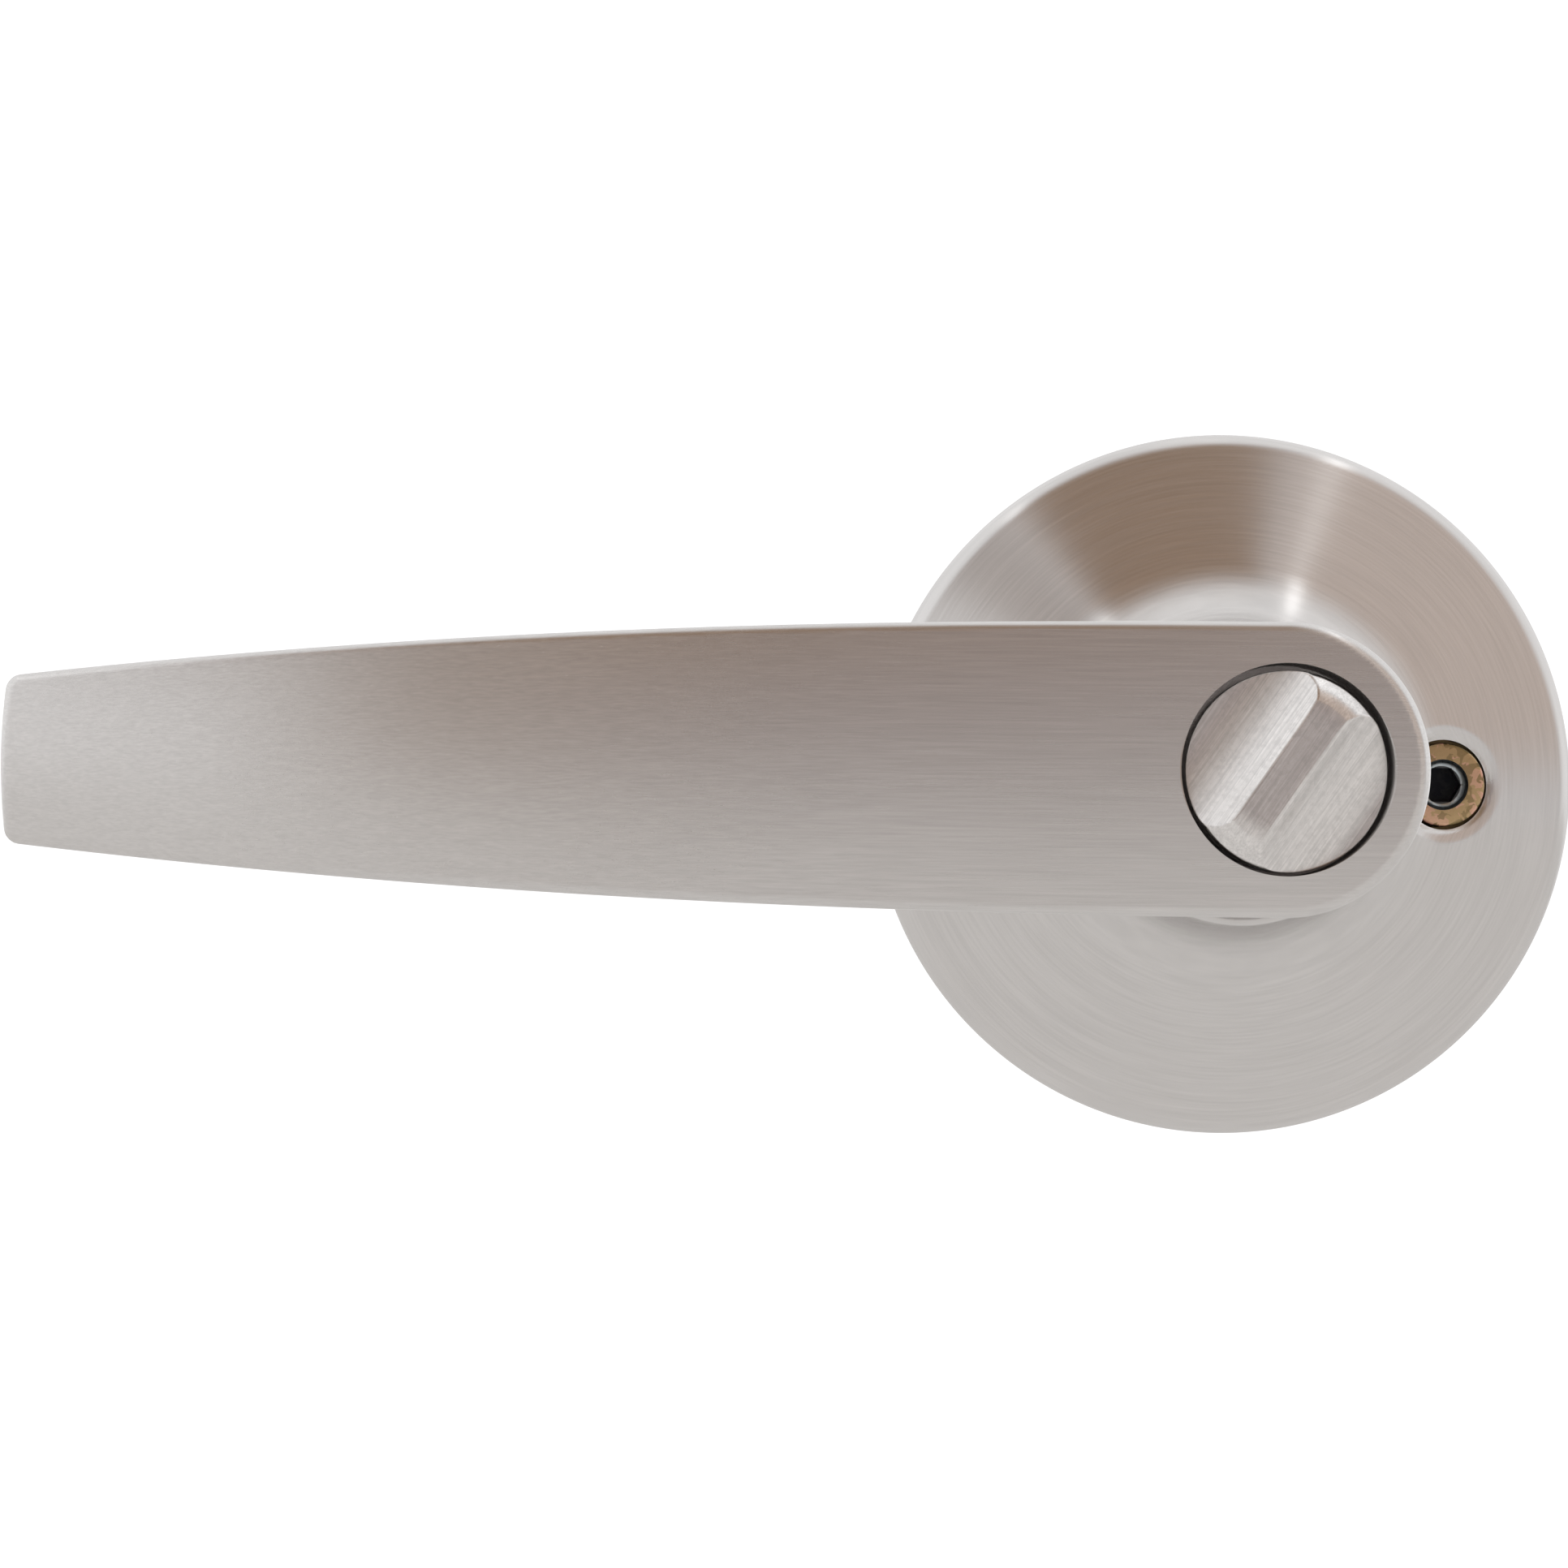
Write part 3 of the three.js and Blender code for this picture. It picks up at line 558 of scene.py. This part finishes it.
def build_lever():
    low = (-REACH, NECK_BOTTOM, -HEAD_R)
    high = (HEAD_R, FACE, HEAD_R)
    lever = carve("lever_casting", lever_field, low, high, 0.3)
    bevelled = 0.14
    wide = BORE_R + bevelled
    mouth = [(BORE_R, FACE - bevelled), (wide, FACE), (wide, FACE + 2), (0, FACE + 2)]
    bore = turned("bore", [(0, BORE_FLOOR), (BORE_R, BORE_FLOOR), *mouth], 256)
    tube_bore = disc("tube_bore", TUBE_CLEAR_R, NECK_BOTTOM - 1, 52, 128)
    stem_hole = disc("stem_hole", 4.7, 51, 57, 64)
    pocket = block("pocket", (-CATCH_SLOT_HALF, CATCH_SLOT_HALF), (-9.9, -6), CATCH_SLOT)
    middle = (CATCH_LOW + CATCH_HIGH) / 2
    pin_hole = turned("pin_hole", [(0, 8), (1.3, 8), (1.3, 10.3), (2.1, 11.1), (2.1, 13), (0, 13)], 48)
    # The hole is turned about the lever's axis, then swung to point straight down under the neck.
    downwards = Matrix.Rotation(math.radians(90), 4, "X")
    pin_hole.data.transform(Matrix.Translation((0, -middle * MM, 0)) @ downwards)
    cut(lever, bore, tube_bore, stem_hole, pocket, pin_hole)
    return shade_from(lever, lever_field)


piece(build_lever(), "lever", lever_satin, "satin_metal", "lever")


ROSE = {
    "radius": 33.35,
    "rim": 2.0,
    "fillet": 1.4,
    "slope": math.radians(21),
    "neck": 13.4,
    "top": 22.5,
    "flare": 7.4,  # radius of the curve between cone and neck
    "sheet": 0.9,
}
ROSE_SPARE = 0.6  # the shell is carved this far past the door's face, then cut flat there


def rose_outside(x, h, z):
    """The rose's outer face, with a soft dip round each bolt hole, as if it were all solid."""
    radius = np.hypot(x, z)
    sin, cos = math.sin(ROSE["slope"]), math.cos(ROSE["slope"])
    start_r = ROSE["radius"] - ROSE["fillet"] * (1 - sin)
    start_h = ROSE["rim"] + ROSE["fillet"] * cos
    cone = (h - start_h) * cos + (radius - start_r) * sin
    base = meet(cone, radius - ROSE["radius"], ROSE["fillet"])
    neck = meet(radius - ROSE["neck"], h - ROSE["top"], 0.6)
    outside = merge(base, neck, ROSE["flare"])
    hole = np.hypot(np.abs(x) - BOLT_X, z) - ROSE_HOLE_R
    dip = 0.3 * (1 - step01((hole + 0.4) / 1.9)) + 0.22 * (1 - step01((hole + 0.1) / 0.7))
    return outside + dip


def rose_field(x, h, z):
    outside = rose_outside(x, h, z)
    inside = np.minimum(outside + ROSE["sheet"], np.hypot(x, z) - (ROSE["neck"] - ROSE["sheet"]))
    return np.maximum(meet(outside, -inside, 0.22), -ROSE_SPARE - h)


def build_rose():
    reach = ROSE["radius"]
    low, high = (-reach, -ROSE_SPARE, -reach), (reach, ROSE["top"], reach)
    rose = carve("rose_shell", rose_field, low, high, 0.27)
    below = block("below", (-40, 40), (-40, 40), (-3, 0))
    holes = [moved(disc("hole", ROSE_HOLE_R, 1, 14, 96), x=side * BOLT_X) for side in (-1, 1)]
    cut(rose, below, *holes)
    return shade_from(rose, rose_field)


piece(build_rose(), "base", rose_satin, "satin_metal", "rose")


BUTTON = {
    "radius": 8.4,
    "seat": 56.7,
    "rim": 60.3,
    "top": 63.3,
    "bar": 1.5,  # half the width of the grip bar's top
    "slope": math.radians(44),
    "foot": 2.3,  # radius of the curve from the bar's side into the plate
    "level": 4.6,  # the bar's top falls away from here outwards
    "drop": 0.5,
    "chamfer": 1.1,
    "step": 0.085,
}


def button_field(x, h, z):
    """Drawn upright: the grip bar runs along z, between two sloping sides that sweep out into the plate."""
    top, level, slope = BUTTON["top"], BUTTON["level"], BUTTON["slope"]
    side = (h - top) * math.cos(slope) + (np.abs(x) - BUTTON["bar"]) * math.sin(slope)
    above = merge(h - BUTTON["rim"], side, BUTTON["foot"])
    radius = np.hypot(x, z)
    wall = radius - BUTTON["radius"]
    drop = BUTTON["drop"] * (np.maximum(radius - level, 0) / (BUTTON["radius"] - level)) ** 2
    chamfer = (wall + h - top + BUTTON["drop"] + BUTTON["chamfer"]) / math.sqrt(2)
    envelope = meet(meet(h - top + drop, chamfer, 0.5), wall, 0.3)
    body = meet(above, envelope, 0.13)
    body = meet(body, BUTTON["seat"] - h, 0.2)
    socket = np.maximum(radius - 2.2, h - 59.5)
    return np.maximum(body, -socket)


def build_button():
    r = BUTTON["radius"]
    low, high = (-r, BUTTON["seat"], -r), (r, BUTTON["top"], r)
    button = carve("turn_button_plate", button_field, low, high, BUTTON["step"])
    shade_from(button, button_field, 50)
    # The button sits a hair low in its bore, by its own weight.
    turn = Matrix.Translation((0, 0, -0.15 * MM)) @ Matrix.Rotation(BAR_ANGLE, 4, "Y")
    normals = [turn.to_3x3() @ c.vector for c in button.data.corner_normals]
    button.data.transform(turn)
    button.data.normals_split_custom_set(normals)
    return button


piece(build_button(), "button", button_satin, "satin_metal", "turn_button")


# ------------------------------------------------------------------ bolts and screws
def threaded(name, radius, depth, pitch, low, high, segments=40):
    """A threaded rod along the lever's axis, run out smoothly at its inner end and chamfered at its tip."""
    rows = int((high - low) / pitch * 8)
    heights = np.linspace(low, high, rows + 1)
    angles = np.linspace(0, 2 * math.pi, segments, endpoint=False)
    height, angle = np.meshgrid(heights, angles, indexing="ij")
    phase = (height / pitch - angle / (2 * math.pi)) % 1.0
    groove = np.clip(np.abs(phase - 0.5) * 2.4 - 0.1, 0, 1)
    fade = step01((high - height) / 2.5)
    r = radius - depth * groove * fade
    r = np.minimum(r, radius - 0.9 + (height - low))
    points = np.stack([r * np.cos(angle), height, r * np.sin(angle)], -1).reshape(-1, 3)
    index = np.arange((rows + 1) * segments).reshape(rows + 1, segments)
    following = np.roll(index, -1, axis=1)
    quads = np.stack([index[:-1], following[:-1], following[1:], index[1:]], -1).reshape(-1, 4)
    ends = [index[0].tolist(), index[-1].tolist()]
    return make_object(name, points, [*quads.tolist(), *ends])


BOLT = {"shank": 2.42, "seat": 2.2, "head": 3.95, "top": 6.9, "across": 3.2, "deep": 3.0, "mouth": 2.4}


def build_bolt(name):
    shank_r, head_r, seat, top = BOLT["shank"], BOLT["head"], BOLT["seat"], BOLT["top"]
    shank = threaded(name, shank_r, 0.36, 0.8, -46, -12)
    profile = [(0, -12.5), (shank_r, -12.5), (shank_r, seat), (head_r, seat), (head_r, top), (0, top)]
    head = turned(name + "_head", profile, 96, edge=0.3)
    # The socket is a hexagon that opens through a coned mouth.
    hexagon = arc(0, 0, BOLT["across"] / math.sqrt(3), 0, 300, 5)
    socket = prism("socket", hexagon, top - BOLT["deep"], top + 1)
    cone = [(1.8, top - 1.0), (2.1, top - 0.8), (BOLT["mouth"], top - 0.2), (BOLT["mouth"], top + 1)]
    mouth = turned("mouth", [(0, top - 1.0), *cone, (0, top + 1)])
    join(shank, head)
    cut(shank, socket, mouth)
    return smooth(shank, 34)


def plate_bolt(bolt):
    """Painted shade in the socket: darker with depth, from a steel mouth to a near-black floor. The head
    has its own film.
    """
    steel, shade, painted_shadow, film = 1, 2, 3, 4
    for material in (socket_steel, socket_shade, socket_painted_shadow, bolt_zinc):
        bolt.data.materials.append(material)
    for face in bolt.data.polygons:
        x, h, z = face.center.x / MM, -face.center.y / MM, face.center.z / MM
        if math.hypot(x, z) < BOLT["mouth"] - 0.02 and h > BOLT["seat"] + 0.8:
            depth = BOLT["top"] - h
            # Deeper faces take painted shade; the deepest take a near-black painted shadow.
            face.material_index = painted_shadow if depth > 2.5 else shade if depth > 0.95 else steel
        elif h > BOLT["seat"] - 0.2:
            face.material_index = film


for bolt_name, bolt_side in (("left", -1), ("right", 1)):
    bolt = build_bolt("bolt_" + bolt_name)
    piece(bolt, "base", yellow_zinc, "yellow_zinc", "mounting_bolt_" + bolt_name)
    plate_bolt(bolt)
    moved(bolt, x=bolt_side * BOLT_X)


def build_housing_screw(name, side):
    seat = -1.4
    head = seat - 2.0
    dome = [(0, head), (1.2, head), (2.2, head + 0.35), (2.75, head + 1.1), (2.8, seat)]
    shank = [(1.5, seat), (1.5, 1.9), (0, 1.9)]
    screw = turned(name, [*dome, *shank], 64, edge=0.25)
    # The cross recess is two tapered slots.
    arms = [
        prism("arm", [(-a, -b), (a, -b), (a * 0.8, b), (-a * 0.8, b)], head - 1, head + 1.25)
        for a, b in ((1.6, 0.32), (0.36, 1.6))
    ]
    cut(screw, *arms)
    return moved(smooth(screw, 34), z=side * SCREW_Z, turn=20 * side)


for screw_name, screw_side in (("top", 1), ("bottom", -1)):
    screw = build_housing_screw("cage_screw_" + screw_name, screw_side)
    piece(screw, "base", bright_zinc, "bright_zinc", "housing_screw_" + screw_name)


# ------------------------------------------------------------------ plate, clips, cage and bearings
def build_plate():
    plate = ring("fixing_plate", 10.2, 31.9, 0, 2.0, 192)
    holes = [moved(disc("hole", 2.75, -1, 3, 48), x=s * BOLT_X) for s in (-1, 1)]
    holes += [moved(disc("hole", SCREW_HOLE_R, -1, 3, 40), z=s * SCREW_Z) for s in (-1, 1)]
    notch = [moved(block("notch", (29.4, 33), (-2.8, 2.8), (-1, 3)), turn=a) for a in (90, 210, 330)]
    cut(plate, *holes, *notch)
    return smooth(bevel(plate, 0.2, 1), 30)


piece(build_plate(), "base", yellow_zinc, "yellow_zinc", "mounting_plate")


def build_clip(number, angle):
    """A strip of spring steel, bent along a line in x and h."""
    half_width, half_thickness = 2.5, 0.2
    line = np.array([(22, 2.4), (29.2, 2.4), (30.2, 1.9), (31.9, 1.0), (30.9, 0.3)], float)
    along = np.diff(line, axis=0)
    normals = np.stack([-along[:, 1], along[:, 0]], 1) / np.linalg.norm(along, axis=1, keepdims=True)
    joints = np.vstack([normals[:1], normals[:-1] + normals[1:], normals[-1:]])
    offset = half_thickness * joints / (joints * np.vstack([normals[:1], normals])).sum(1, keepdims=True)
    section = np.vstack([line + offset, (line - offset)[::-1]])
    vertices = [(x, h, z) for z in (-half_width, half_width) for x, h in section]
    clip = make_object(f"clip_{number}", vertices, prism_faces(len(section)))
    return moved(smooth(bevel(clip, 0.08, 2), 50), turn=angle)


for clip_number, clip_angle in ((1, 90), (2, 210), (3, 330)):
    clip = build_clip(clip_number, clip_angle)
    piece(clip, "base", spring_steel, "spring_steel", f"rose_clip_{clip_number}")


def build_housing():
    outer_corner = arc(15.9, -9.4, 1.6, -90, 0, 8)
    inner_corner = arc(15.6, -9.0, 1.0, 0, -90, 6)
    profile = [(9.6, -11.0), *outer_corner, (17.5, -0.2), (16.6, -0.2), *inner_corner, (9.6, -10.0)]
    cup = turned("spring_cage", profile, 160)
    tab = block("tab", (-2, 2), (14.1, 14.9), (-10.5, -2.2))
    stops = [moved(block("stop", (-1, 1), (15.0, 17.0), (-7.4, -4.6)), turn=a) for a in (62.5, -62.5)]
    ears = []
    ear_end = arc(0, 20.2, 4.3, 30, 150, 12)
    for turn in (180, 0):
        ear = prism("ear", [(-5.2, 16.2), (5.2, 16.2), (4.6, 22.0), *ear_end, (-4.6, 22.0)], -1.3, -0.2)
        hole = moved(disc("hole", SCREW_HOLE_R, -3, 1, 40), z=SCREW_Z)
        ears.append(moved(cut(ear, hole), turn=turn))
    join(cup, tab, *stops, *ears)
    return smooth(bevel(cup, 0.15, 2, 50), 38)


piece(build_housing(), "base", bright_zinc, "bright_zinc", "spring_housing")

hub = ring("bearing_hub", 8.25, 10.0, 0, 12, 128, edge=0.25)
join(hub, ring("hub_flange", 9.2, 12.4, 2.2, 3.6, 128, edge=0.25))
piece(smooth(hub), "base", bright_zinc, "bright_zinc", "plate_hub")

rear_profile = [(8.25, -12.0), (9.3, -12.0), (9.3, -9.8), (11.3, -9.8), (11.3, -9.3), (8.25, -9.3)]
piece(smooth(turned("cage_bush", rear_profile, 128, edge=0.15)), "base", nylon, "nylon", "rear_bush")

collar = ring("neck_bush", 11.05, 12.3, 16.0, 22.3, 160, edge=0.3)
piece(smooth(collar), "base", nylon, "nylon", "collar_bush")


# ------------------------------------------------------------------ spindle group
def build_tube():
    inner, outer, end, top = 6.4, 8.0, -15, 51
    groove = [(outer, -14), (7.4, -14), (7.4, -12.9), (outer, -12.9)]
    profile = [(inner, end), (outer, end), *groove, (outer, top), (inner, top)]
    tube = turned("lever_tube", profile, 128, edge=0.2)
    keys = [block("key", x, (-1.8, 1.8), (-2.1, -0.1)) for x in ((-9, -6), (6, 9))]
    slot = block("slot", (-CATCH_SLOT_HALF, CATCH_SLOT_HALF), (-9, -5), CATCH_SLOT)
    cut(tube, *keys, slot)
    return smooth(tube)


piece(build_tube(), "lever", bright_zinc, "bright_zinc", "spindle_tube")


def build_circlip():
    """An external retaining ring: it thins towards its gap and ends in two eyes."""
    inner = 7.55
    low, high = -13.85, -13.05
    half_gap = 16
    outer = []
    for a in np.linspace(90 + half_gap, 450 - half_gap, 72):
        share = abs(((a - 90 + 180) % 360) - 180) / 180
        radius = 8.75 + 0.75 * step01(share)
        outer.append((radius * math.cos(math.radians(a)), radius * math.sin(math.radians(a))))
    band = [*outer, *arc(0, 0, inner, 450 - half_gap, 90 + half_gap, 72)]
    clip = prism("retaining_ring", band, low, high)
    eyes = []
    holes = []
    for side in (-1, 1):
        at = math.radians(90 + side * (half_gap + 3.5))
        x, z = 8.55 * math.cos(at), 8.55 * math.sin(at)
        eyes.append(moved(disc("eye", 1.25, low, high, 32), x=x, z=z))
        holes.append(moved(disc("hole", 0.5, -15, -12, 20), x=x, z=z))
    trim = disc("trim", inner, -15, -12, 96)
    join(clip, *eyes)
    cut(clip, trim, *holes)
    return smooth(bevel(clip, 0.1, 2), 40)


piece(build_circlip(), "lever", spring_steel, "spring_steel", "spindle_circlip")

washer = ring("end_washer", 8.2, 11.0, -12.8, -12.2, 128, edge=0.18)
piece(smooth(washer), "lever", bright_zinc, "bright_zinc", "thrust_washer")

plug = disc("tube_plug", 6.2, -15, -10, 96, edge=0.3)
cut(plug, block("square", (-3.95, 3.95), (-3.95, 3.95), (-16, -9)))
piece(smooth(plug, 34), "lever", bright_zinc, "bright_zinc", "spindle_end_plug")

square_outline = soften([(-3.8, -3.8), (3.8, -3.8), (3.8, 3.8), (-3.8, 3.8)], 0.6, 4)
square = prism("square_spindle", square_outline, -50, -10)
cut(square, disc("bore", 2.7, -51, -9, 64))
piece(smooth(bevel(square, 0.25, 2, 50), 34), "lever", bright_zinc, "bright_zinc", "drive_spindle")

tail = block("locking_blade", (-0.7, 0.7), (-2.0, 2.0), (-54, 53.7))
moved(bevel(tail, 0.18, 2), turn=math.degrees(BAR_ANGLE))
piece(smooth(tail, 40), "button", bright_zinc, "bright_zinc", "locking_bar")

# Pieces that stay as the solids have them, inside the others.
INNER = {
    "return_spring": spring_steel,
    "spring_driver": bright_zinc,
    "catch_spring": spring_steel,
    "button_bush": nylon,
    "button_wave_washer": spring_steel,
    "lever_catch": bright_zinc,
    "button_stem": bright_zinc,
    "button_clip": spring_steel,
}
for node_name, material in INNER.items():
    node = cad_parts[node_name]
    node.data.materials.clear()
    node.data.materials.append(material)


# ------------------------------------------------------------------ camera, light and floor
CAMERA_AT = (-0.0417, -0.450, -0.0091)  # metres
CAMERA_TILT = math.radians(91.10)  # from straight down
CAMERA_ROLL = math.radians(0.61)
CAMERA_LENS = 107.8


def build_camera():
    data = bpy.data.cameras.new("camera")
    data.lens = CAMERA_LENS
    data.sensor_width = 36.0
    data.clip_start = 0.02
    camera = bpy.data.objects.new("camera", data)
    bpy.context.scene.collection.objects.link(camera)
    camera.location = CAMERA_AT
    aim = Euler((CAMERA_TILT, 0, 0)).to_matrix() @ Matrix.Rotation(CAMERA_ROLL, 3, "Z")
    camera.rotation_euler = aim.to_euler()
    bpy.context.scene.camera = camera


def direction(off_axis, clock):
    """A unit vector: degrees away from the way the handle faces, and clockwise from upright round it."""
    a, c = math.radians(off_axis), math.radians(clock)
    return (math.sin(a) * math.sin(c), -math.cos(a), math.sin(a) * math.cos(c))


def build_world():
    """A pale studio round the handle: bright behind and at the sides, shaded in browns above and darker in
    front, with two thin bright strips between the shades."""
    world = bpy.data.worlds.new("studio")
    s = Shader(world)
    way = s.vector("NORMALIZE", s.node("TexCoord").outputs["Generated"])
    around = s.vector("NORMALIZE", s.scaled(way, (1, 0, 1)))
    ahead = s.vector("DOT_PRODUCT", way, (0, -1, 0))

    def lobe(towards, inner, outer):
        """A round patch of the sky, with a soft edge between two angles in degrees."""
        facing = s.vector("DOT_PRODUCT", way, towards)
        return s.ramp(facing, math.cos(math.radians(outer)), math.cos(math.radians(inner)))

    def sector(clock, inner, outer, near, far):
        """A wedge of the sky round a clock angle, between two distances in degrees from straight ahead."""
        facing = s.vector("DOT_PRODUCT", around, direction(90, clock))
        wedge = s.ramp(facing, math.cos(math.radians(outer)), math.cos(math.radians(inner)))
        past = s.ramp(ahead, math.cos(math.radians(near[1])), math.cos(math.radians(near[0])), 1.0, 0.0)
        within = s.ramp(ahead, math.cos(math.radians(far[1])), math.cos(math.radians(far[0])))
        return s.math("MULTIPLY", wedge, s.math("MULTIPLY", past, within))

    patches = [
        # Behind the handle, then the screens at the upper left and lower right.
        (lobe((0, 1, 0), 94, 112), (1.12, 1.12, 1.12)),
        (lobe(direction(78, 300), 16, 32), (1.15, 1.15, 1.15)),
        (lobe(direction(80, 124), 16, 32), (1.6, 1.6, 1.6)),
        # Light brown shade at the upper right, and paler wedges below.
        (sector(52, 26, 40, (10, 20), (60, 78)), (0.68, 0.57, 0.5)),
        (sector(130, 12, 28, (12, 20), (50, 66)), (1.05, 1.05, 1.05)),
        (sector(176, 4, 22, (12, 20), (60, 90)), (0.87, 0.85, 0.85)),
        # Dark brown shade at the upper left and overhead.
        (sector(308, 12, 26, (10, 20), (40, 54)), (0.38, 0.31, 0.26)),
        (sector(353, 18, 27, (10, 20), (62, 78)), (0.34, 0.225, 0.145)),
        # What the lever's face looks at: bright for the tip, dark for the middle and the head.
        (lobe(direction(45, 274), 21, 29), (0.98, 0.97, 0.965)),
        (lobe(direction(15, 305), 6, 17), (0.46, 0.38, 0.33)),
        (lobe(direction(8, 22), 8, 23), (0.385, 0.33, 0.315)),
        # The thin strips, which show in the curve round the rose's neck.
        (sector(24, 0.5, 2.5, (42, 68), (92, 104)), (2.2, 2.2, 2.2)),
        (sector(327, 0.5, 2.5, (46, 70), (92, 104)), (1.7, 1.7, 1.7)),
    ]
    colour = rgb(0.77, 0.755, 0.755)
    for share, patch in patches:
        colour = s.mix(share, colour, rgb(*patch))
    s.tree.links.new(colour, s.tree.nodes["Background"].inputs["Color"])
    bpy.context.scene.world = world


def build_floor():
    data = bpy.data.meshes.new("floor")
    z, wide, behind = -0.34, 6.0, 1.5
    corners = [(-wide, -wide, z), (wide, -wide, z), (wide, behind, z), (-wide, behind, z)]
    data.from_pydata(corners, [], [(0, 1, 2, 3)])
    floor = bpy.data.objects.new("floor", data)
    bpy.context.scene.collection.objects.link(floor)
    s = material_shader("pale_floor")
    coords = s.node("TexCoord").outputs["Object"]
    tone = s.mix(s.noise(s.scaled(coords, (6, 6, 6)), detail=3), rgb(0.8, 0.8, 0.79), rgb(0.84, 0.84, 0.83))
    floor.data.materials.append(s.set(base_color=tone, roughness=0.7))


build_camera()
build_world()
build_floor()
bpy.context.scene.view_settings.view_transform = "Standard"
